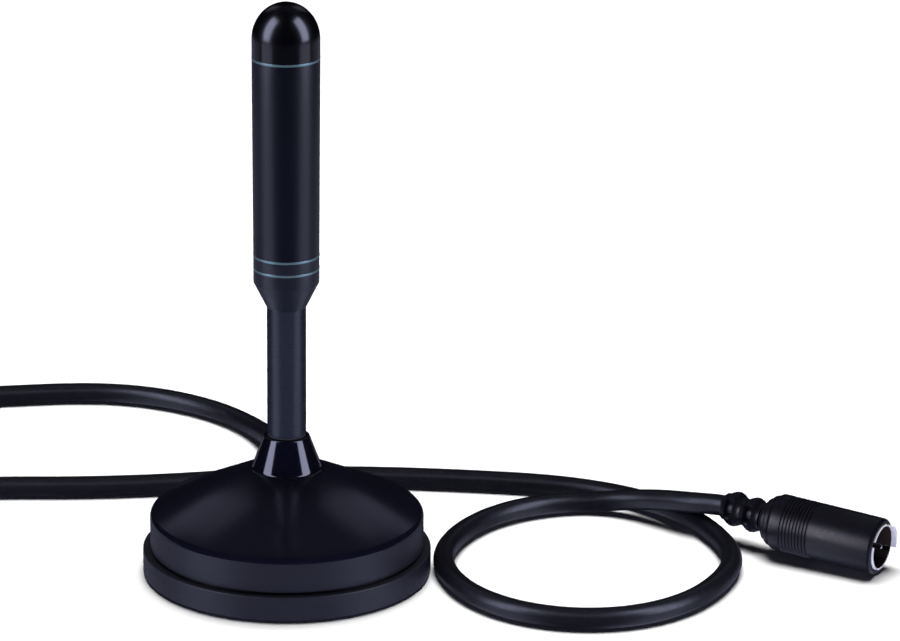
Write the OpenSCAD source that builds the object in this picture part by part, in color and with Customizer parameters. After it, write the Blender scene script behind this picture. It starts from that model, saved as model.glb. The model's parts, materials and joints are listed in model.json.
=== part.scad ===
// Magnet-base whip aerial with a coax lead, a wound spare length and a push-on coax plug.
// The origin is the centre of the foot pad's underside, +Z runs up the mast and -Y is the front.
// The lead leaves the base at the back, along +Y. All sizes are in millimetres.

/* [Base] */
// Diameter of the lower casing, the wide bottom tier
casing_d = 67; // [66:0.1:72]
// Height of the lower casing's ledge above the surface
casing_h = 6.2; // [6.2:0.1:6.3]
// Diameter of the casing's upper tier and of the cover on it
cover_d = 63.6; // [63:0.1:65]
// Height at which the cover's cone ends and the collar starts
cone_top_z = 25.6; // [25.2:0.1:27]
// Fall of the cover's cone per millimetre of radius
cone_slope = 0.478; // [0.46:0.001:0.49]
// Radius of the rounded lip at the edge of the cover's cone
lip_r = 1.6; // [1:0.1:2]
// Wall thickness of the cover
cover_wall = 2; // [1.6:0.1:2.2]
// Thickness of the foot pad
pad_h = 0.8; // [0.6:0.1:1]

/* [Collar and thread] */
// Diameter of the collar's flared foot
collar_foot_d = 17.8; // [17.4:0.1:18.4]
// Diameter of the collar's straight cone where it leaves the flare
collar_low_d = 16.2; // [15:0.1:16.4]
// Diameter of the collar's top
collar_top_d = 10.5; // [10:0.1:12]
// Height of the collar's top above the surface
collar_top_z = 33.5; // [33:0.1:36]
// Nominal diameter of the mast's thread
thread_d = 5; // [4.6:0.1:5.2]
// Pitch of the mast's thread
thread_pitch = 0.8; // [0.7:0.05:1]
// Turns that the mast takes to come free
thread_turns = 8; // [6:1:9]

/* [Mast and radiator] */
// Diameter of the mast tube
mast_d = 9; // [8.2:0.1:9.4]
// Length of the mast tube
mast_h = 30.6; // [28:0.1:60]
// Height of the ferrule's cone
ferrule_cone_h = 6.1; // [4:0.1:8]
// Height of the ferrule's straight part
ferrule_h = 6.25; // [5:0.05:10]
// Diameter of the radiator's foot and its ferrule
radiator_foot_d = 15.1; // [14.4:0.1:16]
// Diameter of the radiator's top and its cap
radiator_top_d = 15.5; // [14.6:0.1:17]
// Length of the radiator sleeve
sleeve_h = 45.9; // [42:0.1:80]
// Height of the cap's straight part
cap_h = 4.2; // [2:0.05:8]
// Height of the cap's dome
dome_h = 8.4; // [6:0.1:9]
// Height of each bright trim ring
trim_h = 0.35; // [0.2:0.05:0.5]

/* [Lead] */
// Outer diameter of the coax
lead_d = 5; // [4.9:0.05:5]
// Height of the lead's axis where it leaves the base
exit_z = 10; // [9.9:0.05:10.1]
// Turns side by side in one layer of the wound spare length
coil_columns = 4; // [2:1:4]
// Layers of the wound spare length
coil_layers = 2; // [1:1:2]
// Centreline radius of the coil's innermost turns
coil_inner_r = 22.5; // [21:0.5:24]
// Thickness of the tie that holds the coil
tie_t = 0.6; // [0.4:0.1:0.8]

/* [Plug] */
// Diameter of the plug's moulded grip
plug_d = 13.4; // [12.8:0.1:13.4]
// Length of the plug's moulded grip
plug_len = 30; // [29:0.1:31]
// Bore of the plug's slotted metal shell
shell_bore_d = 10; // [9.6:0.1:10.2]
// How far the metal shell stands out of the grip
shell_proud = 0.3; // [0.1:0.1:1]
// How much further the shell's one long finger stands out
long_finger = 1.3; // [0.5:0.1:2]
// Diameter of the plug's centre pin
pin_d = 1; // [0.8:0.1:1.2]

/* [Hidden] */
$fn = 96;

casing_black = [0.10, 0.11, 0.13];
cover_black = [0.04, 0.04, 0.05];
anodised_black = [0.06, 0.065, 0.08];
jacket_black = [0.08, 0.08, 0.09];
trim_blue = [0.30, 0.48, 0.62];

// Base: heights and radii that the pieces share
casing_r = casing_d / 2;
cover_r = cover_d / 2;
pad_recess = 0.1;          // how deep the pad is let into the casing
skirt_z = pad_h - pad_recess;
rim_chamfer = 0.1;         // at the foot of the casing's rim
floor_top = 2;             // top of the casing's floor
pad_r = 29;
pad_play = 0.05;           // gap round the pad in its recess
shoulder_r = 0.4;          // rounding of the casing's ledge
recess_h = 0.6;            // undercut round the foot of the casing's upper tier
recess_depth = 0.7;
rim_play = 0.05;           // gap round the cover's locating rim
rim_h = 1.8;
rim_t = 1.6;
tail_start_y = 21;         // inner end of the lead's jacket, clear of the keeper plate
core_end_y = 14;           // where the lead's centre conductor turns up through the board
core_r = 0.45;
cover_in_r = cover_r - cover_wall;
cone_angle = atan(cone_slope);
cone_foot_r = collar_foot_d / 2;
lip_drop = lip_r * tan((90 - cone_angle) / 2);
wall_top = cone_top_z - cone_slope * (cover_r - cone_foot_r) - lip_drop;
boss_r = 9.5;              // flat boss under the cover's crown
boss_z = cone_top_z - 3;
collar_spigot_r = 5;
magnet_r = 20;
magnet_bore_r = 8;
magnet_h = 5;
keeper_r = 20.5;
keeper_h = 1.5;
keeper_z = floor_top + magnet_h;
board_z = 11;
board_t = 1.2;
board_r = 17;
spacer_at = 13;
post_at = 24;              // circle of the cover screws
post_r = 2.8;
casing_post_r = 3;
post_z = 7.2;
cover_screw_r = 1.2;
cover_head_r = 2.4;
cover_head_h = 1.8;
cover_screw_l = 8;
cover_screw_z = 1;         // underside of the screws' heads
fixing_angles = [30, 150, 270];

// Collar, bush and thread
bush_r = 4;
bush_low_z = 18.4;
bush_top_z = collar_top_z - 0.5;
thread_r = thread_d / 2;
thread_play = 0.05;
nut_h = 3;
tag_t = 0.5;
stud_tip_z = collar_top_z - thread_turns * thread_pitch;
washer_h = 0.5;

// Mast and radiator: heights from the mast's seat upwards
mast_z = collar_top_z + washer_h;
ferrule_z = mast_z + mast_h;
ferrule_top = ferrule_z + ferrule_cone_h + ferrule_h;
low_groove_z = ferrule_top - 3.1;
sleeve_z = ferrule_top + trim_h;
sleeve_top = sleeve_z + sleeve_h;
cap_z = sleeve_top + trim_h;
dome_z = cap_z + cap_h;
foot_r = radiator_foot_d / 2;
top_r = radiator_top_d / 2;
tube_bore_r = 2.5;
stud_top_z = mast_z + 7;
rod_r = 1;
spigot_r = foot_r - 1;     // spigots of the ferrule and the cap, inside the sleeve
spigot_h = 4;
trim_depth = 0.5;
trim_proud = 0.04;
former_z = ferrule_top + trim_h + spigot_h;
former_h = 35;
winding_turns = 14;
winding_r = 4.6;
wire_r = 0.4;

// Clamp for the lead inside the base
clamp_y = 24.5;
clamp_l = 5;
clamp_half_w = 7;
clamp_screw_x = 5;
clamp_screw_r = 0.8;
clamp_t = 1.5;
saddle_l = 5.6;            // length of the casing's saddle under the clamp

// Grommet: flange inside the casing's wall, neck in it
grommet_flange_r = 3.6;
grommet_flange_w = 1.4;
grommet_neck_r = 3.1;

// Lead: points of its centreline, chosen by hand, from the base to the coil
FIRST_RUN = [[0, 31, 10], [0, 44, 9.8], [0, 57, 8.1], [-2.5, 74, 4.8], [-10, 94.5, 2.6],
    [-24.5, 110, 2.5], [-45, 118.6, 2.5], [-70, 117.6, 2.5], [-95, 115.2, 2.8],
    [-122, 115.5, 3.1]];
// and from the coil, round the loop and over itself to the plug
SECOND_RUN = [[-122, 43, 8.1], [-106, 43.4, 7.6], [-90, 46, 4], [-74, 49, 2.5],
    [-56, 49.3, 2.5], [-28, 51.4, 2.5], [0, 55.6, 2.5], [26, 55.4, 2.5], [48, 52.8, 2.5],
    [66, 49.1, 2.5], [82, 41.6, 2.5], [93.7, 30.8, 2.5], [101, 16.5, 2.5], [103.7, -1, 2.5],
    [99, -15.6, 2.5], [89.4, -28.6, 2.5], [76, -36, 2.5], [61, -36, 2.5], [48, -28.8, 2.5],
    [39.4, -15.8, 2.5], [36.6, 0.5, 2.5], [41, 16.5, 2.5], [51, 29.5, 2.5], [62.5, 35.9, 2.5],
    [73, 37.4, 2.6], [82.2, 34.8, 4.1], [89.5, 29.4, 6.1], [97, 23.3, 7.7], [104.3, 19, 8.4],
    [112.5, 11.9, 8.1]];
RELIEF_START = [104.3, 19, 8.4];
PLUG_START = [112.5, 11.9, 8.1];
PLUG_END = [138.3, -3.8, 6.7];

// Coil of the spare length
coil_x = -122;
coil_y = 78;
coil_out_r = coil_inner_r + (coil_columns - 0.5) * lead_d;
climb_inset = 2.1;         // the climbing turn runs this much inside the innermost ones
coil_in_r = coil_inner_r - climb_inset - lead_d / 2;
coil_low_z = tie_t;
coil_high_z = tie_t + coil_layers * lead_d;
tie_angle = 205;
tie_span = 16;

// Plug: distances along its axis from the back of the grip
relief_bore_r = lead_d / 2 + 0.05;
relief_neck_r = 3.2;
relief_bulge = 1;
window_w = 2;              // windows of the relief's links: along the axis and across it
window_h = 4.2;
window_turn = -18;         // the windows look a little upwards
grip_r = plug_d / 2;
neck_r = 3.6;
shoulder_len = 4.2;
groove_start = 6.6;
groove_count = 9;
groove_pitch = 0.84;
groove_depth = 0.25;
crimp_start = 4;
crimp_end = 13;
crimp_r = 3.7;
shell_t = 0.5;
shell_bore_r = shell_bore_d / 2;
shell_out_r = shell_bore_r + shell_t;
shell_tip = plug_len + shell_proud;
slot_len = 8;
slot_w = 1.2;
slot_angle = 67;           // first slot, measured from the underside towards the back
insulator_front = 20;
pin_tip = plug_len + 0.2;
pin_r = pin_d / 2;
pin_root_r = 0.8;          // thicker root of the pin, held in the insulator

// A ring-shaped solid from its two radii and its two heights
module ring(out_r, in_r, low, high) {
    translate([0, 0, low]) difference() {
        cylinder(r = out_r, h = high - low);
        translate([0, 0, -1]) cylinder(r = in_r, h = high - low + 2);
    }
}

// Children at each fixing angle on a circle
module on_circle(radius, angles) {
    for (a = angles) rotate(a) translate([radius, 0, 0]) children();
}

// Children drawn along +Z are laid along the line from p to q
module along(p, q) {
    d = q - p;
    flat = norm([d.x, d.y]);
    translate(p) rotate([0, atan2(flat, d.z), atan2(d.y, d.x)]) children();
}

// Points of an arc, from angle a to angle b
function arc(cx, cy, r, a, b, n) =
    [for (i = [0:n]) let (t = a + (b - a) * i / n) [cx + r * cos(t), cy + r * sin(t)]];

// A quarter of an ellipse from its side up to its top
function quarter_ellipse(half_w, height, base, n) =
    [for (i = [0:n]) let (t = 90 * i / n) [half_w * cos(t), base + height * sin(t)]];

// Height of the cover's outer cone at a radius
function cone_z(r) = cone_top_z - cone_slope * (r - cone_foot_r);

// One ring of a swept tube: points round a centre, square to the direction of travel
function tube_ring(c, dir, r, sides) =
    let (side = cross(dir, [0, 0, 1]) / norm(cross(dir, [0, 0, 1])), up = cross(side, dir))
    [for (i = [0:sides - 1]) let (t = 360 * i / sides) c + r * (cos(t) * side + sin(t) * up)];

// Direction of travel at point i of a path
function travel(path, i) =
    let (d = path[min(i + 1, len(path) - 1)] - path[max(i - 1, 0)]) d / norm(d);

// A path with one more point half-way along each stretch, on a smooth curve through them all
function smooth(path) = let (last = len(path) - 1) [for (i = [0:last - 1])
    each [path[i], (9 * (path[i] + path[i + 1]) - path[max(i - 1, 0)] - path[min(i + 2, last)]) / 16],
    path[last]];

// A closed tube swept along a path
module tube(path, r, sides) {
    n = len(path);
    points = [for (i = [0:n - 1]) each tube_ring(path[i], travel(path, i), r, sides)];
    walls = [for (i = [0:n - 2], k = [0:sides - 1])
        let (a = i * sides + k, b = i * sides + (k + 1) % sides)
        each [[a, a + sides, b], [b, a + sides, b + sides]]];
    first_cap = [for (k = [0:sides - 1]) k];
    last_cap = [for (k = [sides - 1:-1:0]) (n - 1) * sides + k];
    polyhedron(points, concat(walls, [first_cap], [last_cap]));
}

// ---- Base ----

module foot_pad() {
    color("dimgray") cylinder(r = pad_r, h = pad_h);
}

// Half-section of the casing: rim, floor with the pad's recess, wide ledge and upper tier
module casing_section() {
    polygon(concat(
        [[0, pad_h], [pad_r + pad_play, pad_h], [pad_r + pad_play, skirt_z],
         [casing_r - rim_chamfer, skirt_z], [casing_r, skirt_z + rim_chamfer]],
        arc(casing_r - shoulder_r, casing_h - shoulder_r, shoulder_r, 0, 90, 8),
        [[cover_r - recess_depth, casing_h], [cover_r - recess_depth, casing_h + recess_h],
         [cover_r, casing_h + recess_h], [cover_r, wall_top], [cover_in_r, wall_top],
         [cover_in_r, floor_top], [0, floor_top]]));
}

module lower_casing() {
    color(casing_black) difference() {
        union() {
            rotate_extrude() casing_section();
            on_circle(post_at, fixing_angles)
                translate([0, 0, pad_h]) cylinder(r = casing_post_r, h = post_z - pad_h);
            translate([-clamp_half_w, clamp_y - saddle_l / 2, pad_h])
                cube([2 * clamp_half_w, saddle_l, exit_z - 0.05 - pad_h]);
        }
        on_circle(post_at, fixing_angles) {
            cylinder(r = cover_screw_r + 0.1, h = post_z + 1);
            cylinder(r = cover_head_r + 0.2, h = cover_screw_z + cover_head_h);
        }
        translate([0, 0, exit_z]) rotate([-90, 0, 0]) cylinder(r = lead_d / 2, h = casing_r);
        translate([0, cover_in_r - 2.4, exit_z]) rotate([-90, 0, 0])
            cylinder(r = grommet_flange_r + 0.1, h = 2.4);
        translate([0, cover_in_r - 1, exit_z]) rotate([-90, 0, 0])
            cylinder(r = grommet_neck_r, h = 4);
        for (x = [-clamp_screw_x, clamp_screw_x])
            translate([x, clamp_y, 4]) cylinder(r = clamp_screw_r, h = exit_z);
    }
}

module ring_magnet() {
    color("darkslategray") ring(magnet_r, magnet_bore_r, floor_top, keeper_z);
}

module keeper_plate() {
    color("silver") difference() {
        ring(keeper_r, 3, keeper_z, keeper_z + keeper_h);
        on_circle(spacer_at, fixing_angles) translate([0, 0, keeper_z - 1]) cylinder(r = 1, h = 4);
    }
}

module board_spacers() {
    color("white") on_circle(spacer_at, fixing_angles) difference() {
        union() {
            translate([0, 0, keeper_z + 0.2]) cylinder(r = 1, h = keeper_h);
            translate([0, 0, keeper_z + keeper_h])
                cylinder(r = 1.8, h = board_z - keeper_z - keeper_h);
        }
        translate([0, 0, board_z - 2]) cylinder(r = 0.8, h = 3);
    }
}

module matching_board() {
    color("darkgreen") difference() {
        translate([0, 0, board_z]) cylinder(r = board_r, h = board_t);
        on_circle(spacer_at, fixing_angles) translate([0, 0, board_z - 1]) cylinder(r = 1, h = 4);
        translate([0, core_end_y, board_z - 1]) cylinder(r = core_r + 0.05, h = 4);
    }
}

module board_screws() {
    color("silver") on_circle(spacer_at, fixing_angles) {
        translate([0, 0, board_z - 2]) cylinder(r = 0.8, h = 2 + board_t);
        translate([0, 0, board_z + board_t]) cylinder(r = 1.8, h = 1.2);
    }
}

// Chip capacitors and inductors on the matching board
module chip_parts() {
    chip = [2, 1.25, 0.8];
    color("tan") for (spot = [[4, 8], [4, 4.5], [-1, 9], [3, -6], [-4, -7], [8, -5]])
        translate([spot.x, spot.y, board_z + board_t]) cube(chip);
}

module transformer_core() {
    color("dimgray") translate([-6, 2, board_z + board_t + 1.1])
        rotate_extrude() translate([2.6, 0]) circle(r = 1.1, $fn = 32);
}

module feed_wire() {
    color("orange") translate([8, 0, board_z + board_t])
        cylinder(r = wire_r, h = boss_z - tag_t - board_z - board_t, $fn = 24);
}

module solder_tag() {
    color("gold") difference() {
        union() {
            translate([0, 0, boss_z - tag_t]) cylinder(r = 6, h = tag_t);
            translate([0, -1.5, boss_z - tag_t]) cube([9, 3, tag_t]);
        }
        translate([0, 0, boss_z - 2]) cylinder(r = bush_r, h = 4);
    }
}

module bush_nut() {
    color("gold") translate([0, 0, boss_z - tag_t - nut_h]) difference() {
        cylinder(r = 6, h = nut_h, $fn = 6);
        translate([0, 0, -1]) cylinder(r = bush_r, h = nut_h + 2);
    }
}

module thread_bush() {
    color("gold") ring(bush_r, thread_r + thread_play, bush_low_z, bush_top_z);
}

module cover_screws() {
    color("silver") on_circle(post_at, fixing_angles) {
        translate([0, 0, cover_screw_z]) cylinder(r = cover_head_r, h = cover_head_h);
        translate([0, 0, cover_screw_z + cover_head_h]) cylinder(r = cover_screw_r, h = cover_screw_l);
    }
}

// Outline of the cover's outside, from its crown down to the edge of its lip
function cover_outline() = concat([[cone_foot_r, cone_top_z]],
    arc(cover_r - lip_r, wall_top, lip_r, 90 - cone_angle, 0, 8));

// Cone with a rounded lip, a rim that locates it in the casing and three screw posts
module base_cover() {
    drop = cover_wall / cos(cone_angle);
    rim_out_r = cover_in_r - rim_play;
    rim_in_r = rim_out_r - rim_t;
    color(cover_black) difference() {
        union() {
            rotate_extrude() polygon(concat(
                [[collar_spigot_r, boss_z], [collar_spigot_r, cone_top_z]],
                cover_outline(),
                [[rim_out_r, wall_top], [rim_out_r, wall_top - rim_h], [rim_in_r, wall_top - rim_h],
                 [rim_in_r, cone_z(rim_in_r) - drop], [boss_r, cone_z(boss_r) - drop],
                 [boss_r, boss_z]]));
            intersection() {
                rotate_extrude() polygon(concat([[0, post_z], [0, cone_top_z]], cover_outline(),
                    [[cover_r, post_z]]));
                on_circle(post_at, fixing_angles)
                    translate([0, 0, post_z]) cylinder(r = post_r, h = 14);
            }
        }
        on_circle(post_at, fixing_angles)
            translate([0, 0, post_z - 1]) cylinder(r = cover_screw_r, h = 5);
        translate([0, rim_in_r - 1, exit_z]) rotate([-90, 0, 0])
            cylinder(r = grommet_flange_r + 0.2, h = rim_t + 1.5);
    }
}

// Conical collar with a flared foot, a spigot in the cover and a seat for the thread bush
module mast_collar() {
    low_r = collar_low_d / 2;
    rim_r = collar_top_d / 2;
    flare = cone_foot_r - low_r;
    color(cover_black) rotate_extrude() polygon(concat(
        [[bush_r, boss_z], [collar_spigot_r, boss_z], [collar_spigot_r, cone_top_z],
         [cone_foot_r, cone_top_z]],
        arc(cone_foot_r, cone_top_z + flare + 0.1, flare, 270, 195, 6),
        [[rim_r, collar_top_z - 0.3], [rim_r - 0.3, collar_top_z],
         [thread_r + 0.3, collar_top_z], [thread_r + 0.3, bush_top_z], [bush_r, bush_top_z]]));
}

module cable_clamp() {
    color("lightgray") difference() {
        union() {
            translate([-clamp_half_w, clamp_y - clamp_l / 2, exit_z + 0.05])
                cube([2 * clamp_half_w, clamp_l, clamp_t]);
            intersection() {
                translate([0, clamp_y - clamp_l / 2, exit_z]) rotate([-90, 0, 0])
                    cylinder(r = 3.3, h = clamp_l);
                translate([-4, clamp_y - 4, exit_z + 0.05]) cube([8, 8, 5]);
            }
        }
        translate([0, 0, exit_z]) rotate([-90, 0, 0]) cylinder(r = lead_d / 2, h = casing_r);
        for (x = [-clamp_screw_x, clamp_screw_x])
            translate([x, clamp_y, exit_z - 1]) cylinder(r = clamp_screw_r, h = 4);
    }
}

module clamp_screws() {
    head_z = exit_z + 0.05 + clamp_t;
    color("silver") for (x = [-clamp_screw_x, clamp_screw_x]) {
        translate([x, clamp_y, exit_z - 5]) cylinder(r = clamp_screw_r, h = 5 + head_z - exit_z);
        translate([x, clamp_y, head_z]) cylinder(r = 2 * clamp_screw_r, h = 0.9);
    }
}

// Centre conductor of the lead, run under the board and up through it
module lead_core() {
    color("orange") translate([0, core_end_y, exit_z]) {
        rotate([-90, 0, 0]) cylinder(r = core_r, h = tail_start_y - core_end_y, $fn = 24);
        cylinder(r = core_r, h = 2.8, $fn = 24);
        sphere(r = core_r, $fn = 24);
    }
}

// The jacketed end of the lead inside the base
module lead_tail() {
    color(jacket_black) translate([0, tail_start_y, exit_z]) rotate([-90, 0, 0])
        cylinder(r = lead_d / 2, h = FIRST_RUN[0].y - tail_start_y);
}

// Rubber grommet: an inner flange, a neck in the casing's wall and a ribbed tapered nose
module cable_grommet() {
    neck_y = cover_in_r - 0.4;
    nose_y = cover_r + 0.05;
    ribs = 5;
    rib_pitch = 2.4;
    rib_w = 1.5;
    nose = [for (i = [0:ribs - 1]) let (y = nose_y + i * rib_pitch, r = 3.45 - 0.1 * i)
        each [[r, y], [r, y + rib_w], [r - 0.35, y + rib_w], [r - 0.35, y + rib_pitch]]];
    color(jacket_black) translate([0, 0, exit_z]) rotate([-90, 0, 0]) rotate_extrude() polygon(concat(
        [[lead_d / 2, neck_y - grommet_flange_w], [grommet_flange_r, neck_y - grommet_flange_w],
         [grommet_flange_r, neck_y], [grommet_neck_r, neck_y], [grommet_neck_r, nose_y]],
        nose, [[lead_d / 2, nose_y + ribs * rib_pitch]]));
}

// ---- Mast ----

module seal_washer() {
    color("black") ring(mast_d / 2 - 0.05, thread_r + 0.2, collar_top_z, mast_z);
}

module mast_stud() {
    color("silver") difference() {
        translate([0, 0, stud_tip_z]) cylinder(r = thread_r, h = stud_top_z - stud_tip_z);
        translate([0, 0, stud_top_z - 2]) cylinder(r = rod_r, h = 3);
    }
}

module mast_tube() {
    color(anodised_black) difference() {
        ring(mast_d / 2, tube_bore_r, mast_z, ferrule_z);
        translate([0, 0, mast_z - 1]) cylinder(r = thread_r, h = 8);
    }
}

module feed_rod() {
    color("gold") translate([0, 0, stud_top_z - 2])
        cylinder(r = rod_r, h = former_z + 5 - stud_top_z + 2);
}

module rod_spacers() {
    color("white") for (z = [stud_top_z + 4, stud_top_z + 13])
        ring(tube_bore_r, rod_r, z, z + 2);
}

// Cone and straight part that carry the radiator, with a spigot at each end
module ferrule() {
    flare_top = ferrule_z + ferrule_cone_h;
    groove_r = foot_r - trim_depth;
    color(anodised_black) rotate_extrude() polygon([
        [1.4, ferrule_z - 5], [tube_bore_r, ferrule_z - 5], [tube_bore_r, ferrule_z],
        [mast_d / 2, ferrule_z], [foot_r, flare_top],
        [foot_r, low_groove_z], [groove_r, low_groove_z],
        [groove_r, low_groove_z + trim_h], [foot_r, low_groove_z + trim_h],
        [foot_r, ferrule_top], [spigot_r, ferrule_top],
        [spigot_r, former_z], [spigot_r - 1.3, former_z], [spigot_r - 1.3, ferrule_top],
        [1.4, ferrule_top - 3]]);
}

module trim_ring_lower() {
    color(trim_blue) ring(foot_r + trim_proud, foot_r - trim_depth,
        low_groove_z, low_groove_z + trim_h);
}

module trim_ring_middle() {
    color(trim_blue) ring(foot_r + trim_proud, spigot_r, ferrule_top, sleeve_z);
}

module trim_ring_upper() {
    color(trim_blue) ring(top_r + trim_proud, spigot_r, sleeve_top, cap_z);
}

// Tube with a straight bore and a slight taper outside
module radiator_sleeve() {
    color(anodised_black) rotate_extrude() polygon([[spigot_r, sleeve_z], [foot_r, sleeve_z],
        [top_r, sleeve_top], [spigot_r, sleeve_top]]);
}

// Plastic former with an end flange top and bottom
module winding_former() {
    color("white") difference() {
        union() {
            translate([0, 0, former_z]) cylinder(r = winding_r - wire_r, h = former_h);
            for (z = [former_z, former_z + former_h - 1.5])
                translate([0, 0, z]) cylinder(r = spigot_r - 0.2, h = 1.5);
        }
        translate([0, 0, former_z - 1]) cylinder(r = 3, h = former_h + 2);
    }
}

// Copper wire wound round the former
module winding() {
    steps = 18;
    low = former_z + 3;
    pitch = (former_h - 6) / winding_turns;
    color("orange") tube([for (i = [0:winding_turns * steps]) let (t = 360 * i / steps)
        [(winding_r + 0.1) * cos(t), (winding_r + 0.1) * sin(t), low + pitch * i / steps]], wire_r, 6);
}

// Closed dome with a spigot in the sleeve
module top_cap() {
    cap_in_r = spigot_r - 1.2;
    color(cover_black) rotate_extrude() polygon(concat(
        [[cap_in_r, sleeve_top - spigot_h], [spigot_r, sleeve_top - spigot_h], [spigot_r, cap_z],
         [top_r, cap_z]],
        quarter_ellipse(top_r, dome_h, dome_z, 20),
        [[0, dome_z + dome_h - 2]],
        [for (i = [8:-1:0]) let (t = 80 * i / 8) [cap_in_r * cos(t), dome_z + (dome_h - 2) * sin(t)]]));
}

// ---- Lead and plug ----

module lead_first_run() {
    color(jacket_black) tube(smooth(FIRST_RUN), lead_d / 2, 10);
}

// Outer shape of the wound spare length
module lead_coil() {
    color(jacket_black) translate([coil_x, coil_y, 0])
        ring(coil_out_r, coil_in_r, coil_low_z, coil_high_z);
}

// Flat strap round the coil's turns
module coil_tie() {
    color("black") translate([coil_x, coil_y, 0]) rotate(tie_angle) rotate_extrude(angle = tie_span)
        difference() {
            translate([coil_in_r - tie_t, 0])
                square([coil_out_r - coil_in_r + 2 * tie_t, coil_high_z + tie_t]);
            translate([coil_in_r, coil_low_z])
                square([coil_out_r - coil_in_r, coil_high_z - coil_low_z]);
        }
}

module lead_second_run() {
    color(jacket_black) tube(smooth(SECOND_RUN), lead_d / 2, 10);
}

// Two bulging links with windows at the front and back, between three plain bands
module strain_relief() {
    length = norm(PLUG_START - RELIEF_START);
    link = length / 2;
    outline = [for (i = [0:24]) let (s = length * i / 24)
        [relief_neck_r + relief_bulge * pow(sin(180 * s / link), 2), s]];
    color(jacket_black) along(RELIEF_START, PLUG_START) difference() {
        rotate_extrude() polygon(concat([[relief_bore_r, 0]], outline, [[relief_bore_r, length]]));
        for (s = [link / 2, link * 3 / 2]) rotate(window_turn)
            translate([-window_h / 2, -6, s - window_w / 2]) cube([window_h, 12, window_w]);
    }
}

// Outline of the grip: rounded shoulder, broad steps, fine grooves and a rounded front rim
function grip_outline() = concat(
    [[neck_r, 0], [neck_r + 0.3, 0.7], [5, 1.1], [5.15, 1.9], [5.9, 2.2], [6.1, 3.2]],
    arc(grip_r - 1, shoulder_len, 1, -60, 0, 4),
    [for (i = [0:groove_count - 1]) let (s = groove_start + i * groove_pitch)
        each [[grip_r, s], [grip_r - groove_depth, s + 0.1],
              [grip_r - groove_depth, s + 0.35], [grip_r, s + 0.45]]],
    arc(grip_r - 0.9, plug_len - 0.9, 0.9, 0, 80, 6));

module plug_grip() {
    color(jacket_black) along(PLUG_START, PLUG_END) rotate_extrude() polygon(concat(
        [[relief_bore_r, 0]], grip_outline(),
        [[shell_out_r, plug_len], [shell_out_r, crimp_end], [crimp_r, crimp_end],
         [crimp_r, crimp_start], [relief_bore_r, crimp_start]]));
}

module crimp_ferrule() {
    color("silver") along(PLUG_START, PLUG_END) ring(crimp_r, relief_bore_r, crimp_start, crimp_end);
}

// Metal shell cut into four springy fingers at the front, one of them longer than the rest
module plug_shell() {
    slot_end = shell_tip - slot_len;
    color("silver") along(PLUG_START, PLUG_END) difference() {
        union() {
            ring(shell_out_r, shell_bore_r, crimp_end, shell_tip);
            rotate(slot_angle) rotate_extrude(angle = 90) translate([shell_bore_r, slot_end])
                square([shell_t, slot_len + long_finger]);
        }
        for (a = [slot_angle, slot_angle + 90]) rotate(a)
            translate([-shell_out_r - 1, -slot_w / 2, slot_end])
                cube([2 * shell_out_r + 2, slot_w, slot_len + long_finger + 1]);
    }
}

module plug_insulator() {
    color("ivory") along(PLUG_START, PLUG_END)
        ring(shell_bore_r, pin_root_r, crimp_end, insulator_front);
}

module plug_pin() {
    color("silver") along(PLUG_START, PLUG_END) {
        translate([0, 0, crimp_end]) cylinder(r = pin_root_r, h = insulator_front - crimp_end);
        translate([0, 0, insulator_front]) cylinder(r = pin_r, h = pin_tip - insulator_front);
    }
}

foot_pad();
lower_casing();
ring_magnet();
keeper_plate();
board_spacers();
matching_board();
board_screws();
chip_parts();
transformer_core();
feed_wire();
solder_tag();
bush_nut();
thread_bush();
cover_screws();
base_cover();
mast_collar();
cable_clamp();
clamp_screws();
lead_core();
lead_tail();
cable_grommet();
seal_washer();
mast_stud();
mast_tube();
feed_rod();
rod_spacers();
ferrule();
trim_ring_lower();
trim_ring_middle();
trim_ring_upper();
radiator_sleeve();
winding_former();
winding();
top_cap();
lead_first_run();
lead_coil();
coil_tie();
lead_second_run();
strain_relief();
plug_grip();
crimp_ferrule();
plug_shell();
plug_insulator();
plug_pin();
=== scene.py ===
"""A magnet-base whip aerial with its coax lead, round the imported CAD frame. Metres, +Z up, -Y the front."""
import json
import math

import bmesh
import bpy
import numpy as np
from mathutils import Matrix, Vector


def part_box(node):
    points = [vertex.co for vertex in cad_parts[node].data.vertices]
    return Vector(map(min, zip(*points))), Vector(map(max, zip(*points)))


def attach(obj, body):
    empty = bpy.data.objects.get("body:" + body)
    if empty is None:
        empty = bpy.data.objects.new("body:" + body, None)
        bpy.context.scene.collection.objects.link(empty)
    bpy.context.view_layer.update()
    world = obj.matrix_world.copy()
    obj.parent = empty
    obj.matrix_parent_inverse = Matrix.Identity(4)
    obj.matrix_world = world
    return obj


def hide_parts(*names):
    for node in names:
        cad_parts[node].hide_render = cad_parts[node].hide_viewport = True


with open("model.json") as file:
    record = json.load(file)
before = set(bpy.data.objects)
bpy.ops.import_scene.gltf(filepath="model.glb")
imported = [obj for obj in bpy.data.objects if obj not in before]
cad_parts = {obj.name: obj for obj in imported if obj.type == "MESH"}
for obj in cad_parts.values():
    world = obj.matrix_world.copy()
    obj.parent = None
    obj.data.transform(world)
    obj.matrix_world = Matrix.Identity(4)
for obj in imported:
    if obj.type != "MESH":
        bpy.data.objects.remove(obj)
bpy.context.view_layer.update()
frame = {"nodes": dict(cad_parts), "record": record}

MM = 0.001
FULL_TURN = 2 * math.pi
COLLECTION = bpy.context.scene.collection


# ---- Camera ----

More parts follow.
